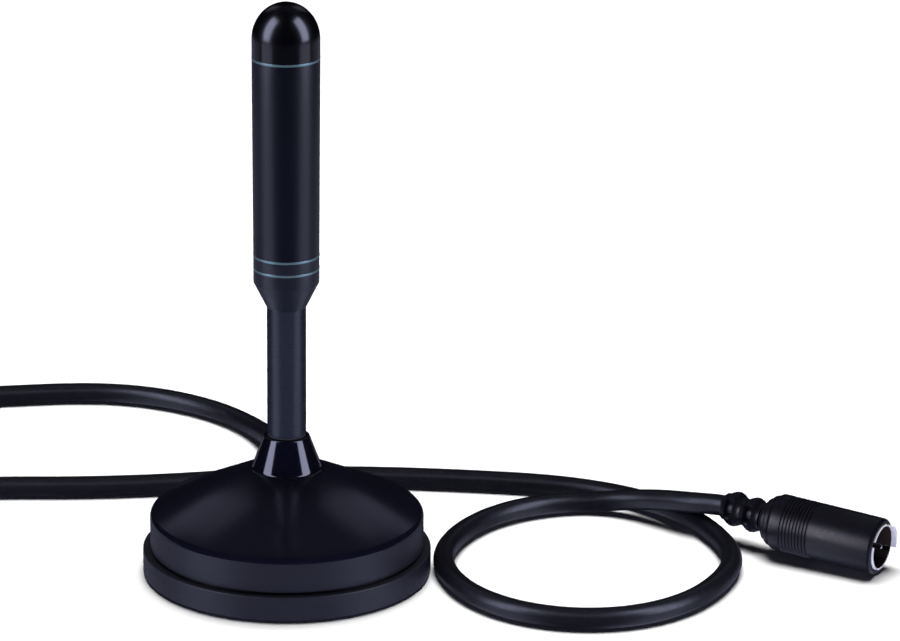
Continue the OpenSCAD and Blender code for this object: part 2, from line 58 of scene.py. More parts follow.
def make_camera():
    """The photograph's viewing angle: a long lens, a little above, with the base left of the middle."""
    tilt_down, yaw = 18.2, -0.391
    camera = bpy.data.objects.new("camera", bpy.data.cameras.new("camera"))
    camera.data.lens = 176
    camera.data.sensor_width = 36
    camera.data.shift_x = 0.15
    camera.data.clip_start = 0.05
    camera.data.clip_end = 20
    camera.location = (0, -0.9575, 0.376)
    camera.rotation_euler = (math.radians(90 - tilt_down), 0, math.radians(yaw))
    COLLECTION.objects.link(camera)
    bpy.context.scene.camera = camera


make_camera()


# ---- Sizes from the frame ----

def low(node):
    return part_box(node)[0]


def high(node):
    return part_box(node)[1]


casing_r = high("lower_casing").x
casing_low_z = low("lower_casing").z
wall_top_z = high("lower_casing").z
cover_r = high("base_cover").x
cone_top_z = high("base_cover").z
collar_foot_r = high("mast_collar").x
collar_top_z = high("mast_collar").z
mast_z = low("mast_tube").z
mast_r = high("mast_tube").x
ferrule_z = high("mast_tube").z
foot_r = high("ferrule").x
top_r = high("top_cap").x
ferrule_top_z = low("trim_ring_middle").z
sleeve_z = low("radiator_sleeve").z
sleeve_top_z = high("radiator_sleeve").z
cap_z = high("trim_ring_upper").z
cap_top_z = high("top_cap").z

LEDGE_Z = 6.2 * MM  # the top of the casing's wide lower tier
EDGE = 0.08 * MM  # how far the edges of the turned pieces are eased
COVER_SLOPE = 0.478  # how far the cone falls for each metre outwards
BOSS_LOW_Z = 22.6 * MM  # the foot of the cover's boss and of the collar's spigot in it
SPIGOT_R = 5 * MM
MAST_BORE_R = 2.5 * MM

# The lead, its coil and the tie round it: sizes in metres, angles in degrees
LEAD_D = 0.005
EXIT_Z = 0.010
COIL_X, COIL_Y = -0.122, 0.078
COIL_LOW_Z, COIL_HIGH_Z = 0.0031, 0.0081
COIL_OUT_R, COIL_IN_R = 0.0375, 0.0225
COIL_LOW_TURNS, COIL_CLIMB_TURNS, COIL_HIGH_TURNS = 3, 1, 2.5
CLIMB_INSET = 0.0021
TIE_T = 0.0006
TIE_START, TIE_SPAN = 205, 16

# Two points on the line that the plug lies along, and the start of its strain relief
PLUG_START = Vector((0.1125, 0.0119, 0.0081))
PLUG_END = Vector((0.1383, -0.0038, 0.0067))
RELIEF_START = Vector((0.1043, 0.0190, 0.0084))

# The lead's centreline from the base to the coil, and from the coil to the plug
FIRST_RUN = [
    (0, 0.031, 0.010), (0, 0.044, 0.0098), (0, 0.057, 0.0081), (-0.0025, 0.074, 0.0048),
    (-0.010, 0.0945, 0.0026), (-0.0245, 0.110, 0.0025), (-0.045, 0.1186, 0.0025),
    (-0.070, 0.1176, 0.0025), (-0.095, 0.1152, 0.0028), (-0.122, 0.1155, 0.0031)]
SECOND_RUN = [
    (-0.122, 0.043, 0.0081), (-0.106, 0.0434, 0.0076), (-0.090, 0.046, 0.004),
    (-0.074, 0.049, 0.0025), (-0.056, 0.0493, 0.0025), (-0.028, 0.0514, 0.0025),
    (0, 0.0556, 0.0025), (0.026, 0.0554, 0.0025), (0.048, 0.0528, 0.0025),
    (0.066, 0.0491, 0.0025), (0.082, 0.0416, 0.0025), (0.0937, 0.0308, 0.0025),
    (0.101, 0.0165, 0.0025), (0.1037, -0.001, 0.0025), (0.099, -0.0156, 0.0025),
    (0.0894, -0.0286, 0.0025), (0.076, -0.036, 0.0025), (0.061, -0.036, 0.0025),
    (0.048, -0.0288, 0.0025), (0.0394, -0.0158, 0.0025), (0.0366, 0.0005, 0.0025),
    (0.041, 0.0165, 0.0025), (0.051, 0.0295, 0.0025), (0.0625, 0.0359, 0.0025),
    (0.073, 0.0374, 0.0026), (0.0822, 0.0348, 0.0041), (0.0895, 0.0294, 0.0061),
    (0.097, 0.0233, 0.0077), (0.1043, 0.019, 0.0084), (0.1125, 0.0119, 0.0081)]


# ---- Shape tools ----

def new_piece(name, mesh, sharp_angle=35):
    """An object with smooth shading that breaks at edges sharper than the angle."""
    mesh.shade_smooth()
    mesh.set_sharp_from_angle(angle=math.radians(sharp_angle))
    piece = bpy.data.objects.new(name, mesh)
    COLLECTION.objects.link(piece)
    return piece


def mesh_from(name, verts, faces):
    """A mesh with doubled points joined and its faces turned outwards."""
    mesh = bpy.data.meshes.new(name)
    mesh.from_pydata([tuple(v) for v in verts], [], faces)
    work = bmesh.new()
    work.from_mesh(mesh)
    bmesh.ops.remove_doubles(work, verts=work.verts, dist=1e-7)
    bmesh.ops.dissolve_degenerate(work, edges=work.edges, dist=1e-7)
    bmesh.ops.recalc_face_normals(work, faces=work.faces)
    work.to_mesh(mesh)
    work.free()
    return mesh


def rounded(corners, steps=6):
    """A closed outline of (radius, height) points from corners of (radius, height, fillet)."""
    points = []
    for i, (r, z, fillet) in enumerate(corners):
        here = Vector((r, z))
        back = (Vector(corners[i - 1][:2]) - here).normalized()
        ahead = (Vector(corners[(i + 1) % len(corners)][:2]) - here).normalized()
        if fillet == 0:
            points.append((r, z))
            continue
        half = back.angle(ahead) / 2
        centre = here + (back + ahead).normalized() * fillet / math.sin(half)
        first = here + back * fillet / math.tan(half) - centre
        last = here + ahead * fillet / math.tan(half) - centre
        start = math.atan2(first.y, first.x)
        turn = math.remainder(math.atan2(last.y, last.x) - start, FULL_TURN)
        for k in range(steps + 1):
            a = start + turn * k / steps
            points.append((centre.x + fillet * math.cos(a), centre.y + fillet * math.sin(a)))
    return points


def lathe_mesh(name, outline, segments=192):
    """A closed solid of revolution about Z from a closed outline of (radius, height) points."""
    count = len(outline)
    verts = [(r * math.cos(a), r * math.sin(a), z)
             for a in (FULL_TURN * i / segments for i in range(segments)) for r, z in outline]
    faces = []
    for i in range(segments):
        here, there = i * count, (i + 1) % segments * count
        for k in range(count):
            m = (k + 1) % count
            if outline[k][0] > 0 or outline[m][0] > 0:
                faces.append((here + k, there + k, there + m, here + m))
    return mesh_from(name, verts, faces)


def lathe(name, outline, segments=192, sharp_angle=35):
    return new_piece(name, lathe_mesh(name, outline, segments), sharp_angle)


def mm(*corners):
    """Corners given in millimetres, in metres, with a fillet of 0 where none is given."""
    return [tuple(v * MM for v in (*c, 0)[:3]) for c in corners]


def along(start, end):
    """The place of a piece that is drawn along +Z and lies along the line from start to end."""
    d = end - start
    return (Matrix.Translation(start) @ Matrix.Rotation(math.atan2(d.y, d.x), 4, "Z")
            @ Matrix.Rotation(math.atan2(math.hypot(d.x, d.y), d.z), 4, "Y"))


def smooth_line(points, steps):
    """A curve with no kinks through the points: steps stretches between each pair of them."""
    p = np.array(points, float)
    h = np.linalg.norm(np.diff(p, axis=0), axis=1)
    n = len(p)
    table, right = np.zeros((n, n)), np.zeros((n, 3))
    table[0, :2], right[0] = (2, 1), 3 * (p[1] - p[0]) / h[0]
    table[-1, -2:], right[-1] = (1, 2), 3 * (p[-1] - p[-2]) / h[-1]
    for i in range(1, n - 1):
        table[i, i - 1:i + 2] = h[i], 2 * (h[i - 1] + h[i]), h[i - 1]
        right[i] = 3 * (h[i] * (p[i] - p[i - 1]) / h[i - 1] + h[i - 1] * (p[i + 1] - p[i]) / h[i])
    slope = np.linalg.solve(table, right)
    line = []
    for i in range(n - 1):
        for t in np.arange(steps) / steps:
            line.append((2 * t**3 - 3 * t**2 + 1) * p[i] + (3 * t**2 - 2 * t**3) * p[i + 1]
                        + h[i] * ((t**3 - 2 * t**2 + t) * slope[i] + (t**3 - t**2) * slope[i + 1]))
    return np.array(line + [p[-1]])


# ---- The lead ----

def coil_turns(points_per_turn=24):
    """The spare length: inwards in a lower layer, up inside it, and outwards on top."""
    turns = COIL_LOW_TURNS + COIL_CLIMB_TURNS + COIL_HIGH_TURNS
    points = []
    for i in range(1, int(turns * points_per_turn)):
        t = i / points_per_turn
        climb = min(max(t - COIL_LOW_TURNS, 0), COIL_CLIMB_TURNS)
        r = (COIL_OUT_R - LEAD_D * min(t, COIL_LOW_TURNS) - CLIMB_INSET * math.sin(math.pi * climb)
             + LEAD_D * max(t - COIL_LOW_TURNS - COIL_CLIMB_TURNS, 0))
        z = COIL_LOW_Z + (COIL_HIGH_Z - COIL_LOW_Z) * (3 * climb**2 - 2 * climb**3)
        a = math.pi / 2 + FULL_TURN * t
        points.append((COIL_X + r * math.cos(a), COIL_Y + r * math.sin(a), z))
    return points


def make_lead():
    """The whole lead as one curve: first run, coil and second run. It never sinks into the floor."""
    line = smooth_line(FIRST_RUN + coil_turns() + SECOND_RUN, steps=6)
    line[:, 2] = np.maximum(line[:, 2], LEAD_D / 2)
    curve = bpy.data.curves.new("lead", "CURVE")
    curve.dimensions = "3D"
    curve.bevel_depth = 1
    curve.bevel_resolution = 8
    curve.use_fill_caps = True
    spline = curve.splines.new("POLY")
    spline.points.add(len(line) - 1)
    for point, place in zip(spline.points, line):
        point.co = (*place, 1)
        point.radius = LEAD_D / 2
    spline.use_smooth = True
    lead = bpy.data.objects.new("lead", curve)
    COLLECTION.objects.link(lead)
    return lead


lead = make_lead()
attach(lead, "root")
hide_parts("lead_first_run", "lead_coil", "lead_second_run")


# ---- Pieces of the base ----

def make_foot_pad():
    """The rubber pad under the base, with four ring grooves in its underside."""
    top, r = high("foot_pad").z, high("foot_pad").x
    grooves = []
    for groove_r in (26, 20, 14, 8):
        grooves += mm((groove_r, 0, 0.1), (groove_r - 0.4, 0.25, 0.1),
                      (groove_r - 1.2, 0.25, 0.1), (groove_r - 1.6, 0, 0.1))
    return lathe("rubber_foot_pad", rounded(
        [(0, top, 0), (r, top, 0.1 * MM), (r, 0, 0.3 * MM), *grooves, (0, 0, 0)], 3))


def make_casing():
    """Floor with the pad's recess, a sharp-edged ledge, an undercut and the upper tier's wall."""
    floor_z = high("foot_pad").z
    pad_hole_r = high("foot_pad").x + 0.05 * MM
    recess_r, recess_top = cover_r - 0.7 * MM, LEDGE_Z + 0.6 * MM
    wall_in_r, inside_floor_z = cover_r - 2 * MM, 2 * MM
    return lathe("weighted_casing", rounded([
        (0, floor_z, 0), (pad_hole_r, floor_z, 0), (pad_hole_r, casing_low_z, 0.1 * MM),
        (casing_r, casing_low_z, EDGE), (casing_r, LEDGE_Z, 0.3 * MM),
        (recess_r, LEDGE_Z, 0), (recess_r, recess_top, 0), (cover_r, recess_top, 0.1 * MM),
        (cover_r, wall_top_z, 0.06 * MM), (wall_in_r, wall_top_z, 0),
        (wall_in_r, inside_floor_z, 0.3 * MM), (0, inside_floor_z, 0)], 8))


def cone_z(r):
    """Height of the cover's cone at a radius."""
    return cone_top_z - COVER_SLOPE * (r - collar_foot_r)


def make_cover():
    """The cone, its rounded lip on the casing's wall, the rim that locates it and the collar's boss."""
    wall, boss_r = 2 * MM, 9.5 * MM
    drop = wall * 1.108  # the wall's thickness, measured straight down through the slope
    seat_z = wall_top_z + 0.02 * MM
    rim_out_r = cover_r - wall - 0.05 * MM
    rim_in_r = rim_out_r - 1.6 * MM
    rim_z = wall_top_z - 1.8 * MM
    return lathe("domed_cover", rounded([
        (SPIGOT_R, BOSS_LOW_Z, 0), (SPIGOT_R, cone_top_z, 0), (collar_foot_r, cone_top_z, 0),
        (cover_r, cone_z(cover_r), 1.48 * MM), (cover_r, seat_z, 0.05 * MM),
        (rim_out_r, seat_z, 0), (rim_out_r, rim_z, 0.2 * MM), (rim_in_r, rim_z, 0.2 * MM),
        (rim_in_r, cone_z(rim_in_r) - drop, 0.8 * MM), (boss_r, cone_z(boss_r) - drop, 0.5 * MM),
        (boss_r, BOSS_LOW_Z, 0.3 * MM)], 10))


def make_collar():
    """A flared cone on a spigot, hollow inside, with a thin top that the mast's stud passes through."""
    flare_r, rim_r, bore_r, mouth_r = 8.15 * MM, 5.25 * MM, 4 * MM, 2.8 * MM
    bore_top_z = collar_top_z - 0.5 * MM
    return lathe("tapered_collar", rounded([
        (bore_r, BOSS_LOW_Z, 0), (SPIGOT_R, BOSS_LOW_Z, 0), (SPIGOT_R, cone_top_z, 0),
        (collar_foot_r, cone_top_z, 0), (flare_r, cone_top_z + 0.12 * MM, 0.8 * MM),
        (rim_r, collar_top_z, 0.35 * MM), (mouth_r, collar_top_z, 0.2 * MM),
        (mouth_r, bore_top_z, 0), (bore_r, bore_top_z, 0)], 8))


def make_grommet():
    """A ribbed tapered nose, a neck in the cover's wall and a flange behind it, drawn along the lead."""
    bore_r, flange_r, neck_r = LEAD_D / 2 + 0.02 * MM, 3.6 * MM, 3.1 * MM
    flange_y, neck_y, wall_y = 28 * MM, 29.4 * MM, cover_r + 0.05 * MM
    ribs, pitch, rib_w, rib_h = 5, 2.4 * MM, 1.5 * MM, 0.35 * MM
    corners = [(bore_r, flange_y, 0), (flange_r, flange_y, 0.2 * MM), (flange_r, neck_y, 0.2 * MM),
               (neck_r, neck_y, 0), (neck_r, wall_y, 0)]
    for i in range(ribs):
        r, y = (3.45 - 0.1 * i) * MM, wall_y + pitch * i
        corners += [(r, y, 0.25 * MM), (r, y + rib_w, 0.25 * MM),
                    (r - rib_h, y + rib_w, 0.1 * MM), (r - rib_h, y + pitch, 0.1 * MM)]
    corners[-1] = (corners[-1][0], corners[-1][1], 0.1 * MM)
    corners.append((bore_r, wall_y + ribs * pitch, 0))
    grommet = lathe("ribbed_grommet", rounded(corners, 4), 96)
    grommet.matrix_world = Matrix.Translation((0, 0, EXIT_Z)) @ Matrix.Rotation(-math.pi / 2, 4, "X")
    return grommet


# ---- Pieces of the mast ----

def make_washer():
    """The flat rubber ring between the collar and the mast."""
    r, top, hole_r = high("seal_washer").x, high("seal_washer").z, 2.7 * MM
    return lathe("sealing_washer", rounded([
        (hole_r, collar_top_z, 0.1 * MM), (r, collar_top_z, 0.2 * MM),
        (r, top, 0.2 * MM), (hole_r, top, 0.1 * MM)], 5), 96)


def make_stud():
    """The mast's threaded stud: a true helix of the thread's pitch, run out at the shoulder."""
    pitch, crest_r, depth = 0.8 * MM, high("mast_stud").x, 0.43 * MM
    bottom, top, run_out = low("mast_stud").z, high("mast_stud").z, mast_z + 0.4 * MM
    row_h, end_chamfer = 0.05 * MM, 0.5 * MM
    around, rows = 48, int((top - bottom) / row_h)
    verts, faces = [(0, 0, bottom)], []
    for j in range(rows + 1):
        z = bottom + (top - bottom) * j / rows
        for i in range(around):
            phase = ((z - bottom) / pitch - i / around) % 1
            groove = min(max(1.5 - abs(phase - 0.5) * 4, 0), 1)  # sloping sides and a flat bottom
            if z > run_out:
                groove = 0
            chamfer = max(end_chamfer - (z - bottom), 0)
            r = min(crest_r - depth * groove, crest_r - chamfer)
            a = FULL_TURN * i / around
            verts.append((r * math.cos(a), r * math.sin(a), z))
    verts.append((0, 0, top))
    for i in range(around):
        k = (i + 1) % around
        faces.append((0, 1 + k, 1 + i))
        faces.append((len(verts) - 1, 1 + rows * around + i, 1 + rows * around + k))
        for j in range(rows):
            here, above = 1 + j * around, 1 + (j + 1) * around
            faces.append((here + i, here + k, above + k, above + i))
    return new_piece("threaded_stud", mesh_from("threaded_stud", verts, faces), 50)


def make_mast():
    """The plain tube from the collar up to the ferrule."""
    return lathe("mast_pipe", rounded([
        (MAST_BORE_R, mast_z, 0), (mast_r, mast_z, 0.25 * MM), (mast_r, ferrule_z, 0.05 * MM),
        (MAST_BORE_R, ferrule_z, 0)], 5), 144)


def make_ferrule():
    """The cone that widens the mast to the radiator, with a ring's groove and a spigot at each end."""
    groove_z, groove_top = low("trim_ring_lower").z, high("trim_ring_lower").z
    groove_r = foot_r - 0.5 * MM
    low_spigot_z, cone_end = ferrule_z - 5 * MM, ferrule_z + 6.1 * MM
    bore_r, spigot_r, cup_r = 1.4 * MM, foot_r - MM, foot_r - MM - 1.3 * MM
    spigot_top = high("ferrule").z
    return lathe("radiator_ferrule", rounded([
        (bore_r, low_spigot_z, 0), (MAST_BORE_R, low_spigot_z, 0), (MAST_BORE_R, ferrule_z, 0),
        (mast_r, ferrule_z, EDGE), (foot_r, cone_end, 0.5 * MM),
        (foot_r, groove_z, EDGE), (groove_r, groove_z, 0), (groove_r, groove_top, 0),
        (foot_r, groove_top, EDGE), (foot_r, ferrule_top_z, EDGE),
        (spigot_r, ferrule_top_z, 0), (spigot_r, spigot_top, 0.2 * MM),
        (cup_r, spigot_top, 0.2 * MM), (cup_r, ferrule_top_z, 0),
        (bore_r, ferrule_top_z - 3 * MM, 0)], 5))


def make_ring(name, node):
    """A bright-cut trim ring with softened edges, lapped a little over the tubes above and below."""
    lap, thickness = 0.1 * MM, 0.5 * MM
    bottom, top, r = low(node).z - lap, high(node).z + lap, high(node).x
    return lathe(name, rounded([
        (r - thickness, bottom, 0), (r, bottom, EDGE), (r, top, EDGE), (r - thickness, top, 0)], 4))


def make_sleeve():
    """The radiator's tube: a straight bore and a slight taper outside."""
    inner = foot_r - MM
    return lathe("radiator_tube", rounded([
        (inner, sleeve_z, 0), (foot_r, sleeve_z, EDGE), (top_r, sleeve_top_z, EDGE),
        (inner, sleeve_top_z, 0)], 4))


def make_cap():
    """The closed dome: a short straight part, then a quarter ellipse, with a spigot below."""
    dome_z = cap_z + 4.2 * MM
    spigot_r, hollow_r, spigot_low_z = foot_r - MM, foot_r - 2.2 * MM, sleeve_top_z - 4 * MM
    dome_h = cap_top_z - dome_z
    hollow_h = dome_h - 2 * MM
    outline = [(hollow_r, spigot_low_z), (spigot_r, spigot_low_z), (spigot_r, cap_z),
               (top_r - EDGE, cap_z), (top_r, cap_z + EDGE)]
    steps = 40
    for i in range(steps + 1):
        a = math.pi / 2 * i / steps
        outline.append((top_r * math.cos(a) if i < steps else 0, dome_z + dome_h * math.sin(a)))
    for i in range(steps, -1, -4):
        a = math.pi / 2 * i / steps
        outline.append((hollow_r * math.cos(a) if i < steps else 0, dome_z + hollow_h * math.sin(a)))
    return lathe("domed_cap", outline, sharp_angle=30)


# ---- Pieces on the lead ----

def make_tie():
    """A flat strap round the coil's turns, with its free end lapped over on top."""
    inner_r, outer_r = COIL_IN_R - CLIMB_INSET - LEAD_D / 2, COIL_OUT_R + LEAD_D / 2
    bottom, top = 0.02 * MM, COIL_HIGH_Z + LEAD_D / 2 + TIE_T
    bend, inner_bend = 2.6 * MM, 2 * MM
    lap_in_r, lap_out_r = inner_r + 4 * MM, outer_r - 2 * MM
    lap_inset = 0.3  # degrees, at either side of the strap
    outer = rounded([(inner_r - TIE_T, bottom, bend), (outer_r + TIE_T, bottom, bend),
                     (outer_r + TIE_T, top, bend), (inner_r - TIE_T, top, bend)], 8)
    inner = rounded([(inner_r, bottom + TIE_T, inner_bend), (outer_r, bottom + TIE_T, inner_bend),
                     (outer_r, top - TIE_T, inner_bend), (inner_r, top - TIE_T, inner_bend)], 8)
    lap = rounded([(lap_in_r, top, 0), (lap_out_r, top, 0),
                   (lap_out_r, top + TIE_T, 0.2 * MM), (lap_in_r, top + TIE_T, 0.2 * MM)], 4)
    count, steps = len(outer), 8
    verts, faces = [], []
    for j in range(steps + 1):
        a = math.radians(TIE_START + TIE_SPAN * j / steps)
        for loop in (outer, inner):
            verts += [(COIL_X + r * math.cos(a), COIL_Y + r * math.sin(a), z) for r, z in loop]
    for k in range(count):
        m = (k + 1) % count
        for j in range(steps):
            here, there = j * 2 * count, (j + 1) * 2 * count
            faces.append((here + k, there + k, there + m, here + m))
            faces.append((here + count + m, there + count + m, there + count + k, here + count + k))
        for end in (0, steps * 2 * count):
            faces.append((end + k, end + m, end + count + m, end + count + k))
    first = len(verts)
    count = len(lap)
    for j in range(steps + 1):
        a = math.radians(TIE_START + lap_inset + (TIE_SPAN - 2 * lap_inset) * j / steps)
        verts += [(COIL_X + r * math.cos(a), COIL_Y + r * math.sin(a), z) for r, z in lap]
    for j in range(steps):
        here, there = first + j * count, first + (j + 1) * count
        for k in range(count):
            m = (k + 1) % count
            faces.append((here + k, there + k, there + m, here + m))
    faces.append(tuple(first + k for k in range(count)))
    faces.append(tuple(first + steps * count + k for k in range(count)))
    return new_piece("hook_and_loop_tie", mesh_from("hook_and_loop_tie", verts, faces), 40)


def smooth_step(low_edge, high_edge, value):
    """From 0 at the low edge to 1 at the high edge, with no kink at either."""
    t = min(max((value - low_edge) / (high_edge - low_edge), 0), 1)
    return t * t * (3 - 2 * t)


def make_relief():
    """Two bulging links, each cut by a pair of windows that show the lead inside."""
    length = (PLUG_START - RELIEF_START).length
    link = length / 2
    around, rows = 128, 110
    bore_r = LEAD_D / 2 + 0.02 * MM
    windows_turn = math.radians(18)
    verts, faces = [], []
    for j in range(rows + 1):
        s = length * j / rows
        bulge = (3.2 + math.sin(math.pi * s / link) ** 2) * MM
        near = min(abs(s - link / 2), abs(s - link * 3 / 2))
        window = 1 - smooth_step(0.85 * MM, 1.15 * MM, near)
        for i in range(around):
            a = FULL_TURN * i / around
            across = abs(math.cos(a + windows_turn)) * bulge
            cut = window * (1 - smooth_step(1.9 * MM, 2.3 * MM, across))
            r = bulge - cut * (bulge - bore_r - 0.03 * MM)
            verts.append((r * math.cos(a), r * math.sin(a), s))
    for j in (rows, 0):
        verts += [(bore_r * math.cos(FULL_TURN * i / around), bore_r * math.sin(FULL_TURN * i / around),
                   length * j / rows) for i in range(around)]
    loops = [range(j * around, (j + 1) * around) for j in range(rows + 3)]
    for a_loop, b_loop in zip(loops, loops[1:] + loops[:1]):
        for i in range(around):
            k = (i + 1) % around
            faces.append((a_loop[i], a_loop[k], b_loop[k], b_loop[i]))
    return new_piece("flex_relief", mesh_from("flex_relief", verts, faces), 60)




def make_grip():
    """The moulded grip: a stepped shoulder, nine fine grooves, a rounded front rim and a stepped bore."""
    r, front, depth = 6.7, 30.0, 0.27  # in mm, as are all the corners here
    corners = [(2.52, 0), (3.6, 0, 0.3), (3.95, 0.8, 0.4), (5.0, 1.1, 0.3), (5.15, 1.95, 0.25),
               (5.9, 2.2, 0.35), (6.1, 3.2, 0.3), (r, 3.9, 0.8)]
    for i in range(9):
        s = 6.6 + 0.84 * i
        corners += [(r, s, 0.08), (r - depth, s + 0.12, 0.05),
                    (r - depth, s + 0.36, 0.05), (r, s + 0.48, 0.08)]
    corners += [(r, front, 0.9), (5.75, front, 0.15), (5.5, front - 0.3, 0), (5.5, 13), (3.7, 13),
                (3.7, 4), (2.55, 4)]
    return lathe("moulded_grip", rounded(mm(*corners), 5), 160)


def make_shell():
    """A sprung metal shell cut into four fingers, one longer than the rest, with painted shade on its inner
    wall.
    """
    wall, bore_r, most_pinch, shade_free_tip = 0.5 * MM, 5 * MM, 0.12 * MM, 0.1 * MM
    back, slot_end, tip, long_tip = 13 * MM, 22.3 * MM, 30.3 * MM, 31.6 * MM
    around, slot_w, first_slot = 240, 1.2 * MM, math.radians(67)
    stations = [back, 18 * MM] + [slot_end + (tip - slot_end) * k / 10 for k in range(11)] + [long_tip]
    verts, faces = [], []
    for s in stations:
        free = max(s - slot_end, 0) / (tip - slot_end)
        pinch = most_pinch * math.sin(math.pi * min(free, 1))
        for r in (bore_r + wall - pinch, bore_r - pinch):
            verts += [(r * math.cos(FULL_TURN * i / around), r * math.sin(FULL_TURN * i / around), s)
                      for i in range(around)]

    def solid(i, j):
        """Whether there is metal in the cell at step i round the shell and row j along it."""
        if not 0 <= j < len(stations) - 1:
            return False
        finger, turn = divmod((FULL_TURN * (i + 0.5) / around - first_slot) % FULL_TURN, math.pi / 2)
        if stations[j] >= slot_end and min(turn, math.pi / 2 - turn) * bore_r < slot_w / 2:
            return False
        return stations[j] < tip or finger == 0

    ring = 2 * around
    for j in range(len(stations) - 1):
        for i in range(around):
            if not solid(i, j):
                continue
            k = (i + 1) % around
            here, there = j * ring, (j + 1) * ring
            faces.append((here + i, here + k, there + k, there + i))
            faces.append((here + around + k, here + around + i, there + around + i, there + around + k))
            if not solid((i - 1) % around, j):
                faces.append((here + i, there + i, there + around + i, here + around + i))
            if not solid(k, j):
                faces.append((here + k, here + around + k, there + around + k, there + k))
            if not solid(i, j - 1):
                faces.append((here + i, here + around + i, here + around + k, here + k))
            if not solid(i, j + 1):
                faces.append((there + i, there + k, there + around + k, there + around + i))
    mesh = mesh_from("sprung_shell", verts, faces)
    # The second material is painted shade for the inner wall, which is dark everywhere but on the long finger
    for face in mesh.polygons:
        from_axis = math.hypot(face.center.x, face.center.y)
        face.material_index = int(from_axis < bore_r + wall / 4 and face.center.z < tip - shade_free_tip)
    shell = new_piece("sprung_shell", mesh, 40)
    bevel = shell.modifiers.new("edges", "BEVEL")
    bevel.width = 0.07 * MM
    bevel.segments = 2
    bevel.limit_method = "ANGLE"
    bevel.angle_limit = math.radians(40)
    return shell


def make_insulator():
    """The moulded disc in the shell, dished round the pin."""
    return lathe("pin_insulator", rounded(mm(
        (0.8, 13), (5, 13), (5, 20, 0.2), (3.8, 20, 0.2), (3.6, 19.4, 0.2), (1.8, 19.4, 0.2),
        (1.6, 19.9, 0.2), (0.8, 19.9, 0.1)), 4), 96)


def make_pin():
    """The thin centre pin, on a thicker root held by the insulator."""
    return lathe("centre_pin", rounded(mm(
        (0, 13), (0.8, 13), (0.8, 20, 0.1), (0.5, 20), (0.5, 30.2, 0.4), (0, 30.2)), 6), 48)


PLUG_PLACE = along(PLUG_START, PLUG_END)
RELIEF_PLACE = along(RELIEF_START, PLUG_START)


# ---- Materials ----

NOISE_LOW, NOISE_HIGH = 0.3, 0.7  # most of a noise texture's values lie between these


def node_of(tree, kind, **inputs):
    """A shader node with its properties and its inputs set: inputs are named by their label."""
    node = tree.nodes.new(kind)
    for key, value in inputs.items():
        if hasattr(node, key):
            setattr(node, key, value)
        else:
            node.inputs[key.replace("_", " ").title()].default_value = value
    return node


def finish(name, colour, roughness, metallic=0.0, specular=0.5, coat=0.0, coat_roughness=0.05,
           mottle=0.15, mottle_scale=60, rough_spread=0.06, grain_scale=2500, grain=0.00002,
           stretch=(1, 1, 1), waves=None):
    """A surface whose colour and roughness drift a little, over a fine moulded or turned grain."""
    material = bpy.data.materials.new(name)
    material.use_nodes = True
    tree = material.node_tree
    links = tree.links
    shader = tree.nodes["Principled BSDF"]
    shader.inputs["Metallic"].default_value = metallic
    shader.inputs["Specular IOR Level"].default_value = specular
    shader.inputs["Coat Weight"].default_value = coat
    shader.inputs["Coat Roughness"].default_value = coat_roughness
    coords = tree.nodes.new("ShaderNodeTexCoord")
    mapping = tree.nodes.new("ShaderNodeMapping")
    mapping.inputs["Scale"].default_value = stretch
    links.new(coords.outputs["Object"], mapping.inputs["Vector"])
    drift = node_of(tree, "ShaderNodeTexNoise", scale=mottle_scale, detail=4.0)
    links.new(coords.outputs["Object"], drift.inputs["Vector"])
    ramp = tree.nodes.new("ShaderNodeValToRGB")
    for element, place, shade in zip(ramp.color_ramp.elements, (NOISE_LOW, NOISE_HIGH),
                                     (1 - mottle, 1 + mottle)):
        element.position = place
        element.color = (*(c * shade for c in colour), 1)
    links.new(drift.outputs["Fac"], ramp.inputs["Fac"])
    links.new(ramp.outputs["Color"], shader.inputs["Base Color"])
    speckle = node_of(tree, "ShaderNodeTexNoise", scale=grain_scale, detail=3.0)
    links.new(mapping.outputs["Vector"], speckle.inputs["Vector"])
    rough = tree.nodes.new("ShaderNodeMapRange")
    rough.inputs["From Min"].default_value = NOISE_LOW
    rough.inputs["From Max"].default_value = NOISE_HIGH
    rough.inputs["To Min"].default_value = roughness - rough_spread
    rough.inputs["To Max"].default_value = roughness + rough_spread
    links.new(speckle.outputs["Fac"], rough.inputs["Value"])
    links.new(rough.outputs["Result"], shader.inputs["Roughness"])
    bump = tree.nodes.new("ShaderNodeBump")
    bump.inputs["Distance"].default_value = grain
    bump.inputs["Strength"].default_value = 1
    links.new(speckle.outputs["Fac"], bump.inputs["Height"])
    links.new(bump.outputs["Normal"], shader.inputs["Normal"])
    if waves:
        add_weave(tree, coords, shader, bump, *waves)
    return material


def add_weave(tree, coords, shader, bump, thread_scale, depth):
    """Crossing threads under the grain, for a woven strap."""
    heights = []
    for direction in ("X", "Y"):
        wave = node_of(tree, "ShaderNodeTexWave", bands_direction=direction, scale=thread_scale)
        tree.links.new(coords.outputs["Object"], wave.inputs["Vector"])
        heights.append(wave.outputs["Fac"])
    total = node_of(tree, "ShaderNodeMath", operation="MAXIMUM")
    tree.links.new(heights[0], total.inputs[0])
    tree.links.new(heights[1], total.inputs[1])
    weave = tree.nodes.new("ShaderNodeBump")
    weave.inputs["Distance"].default_value = depth
    tree.links.new(total.outputs["Value"], weave.inputs["Height"])
    tree.links.new(weave.outputs["Normal"], bump.inputs["Normal"])
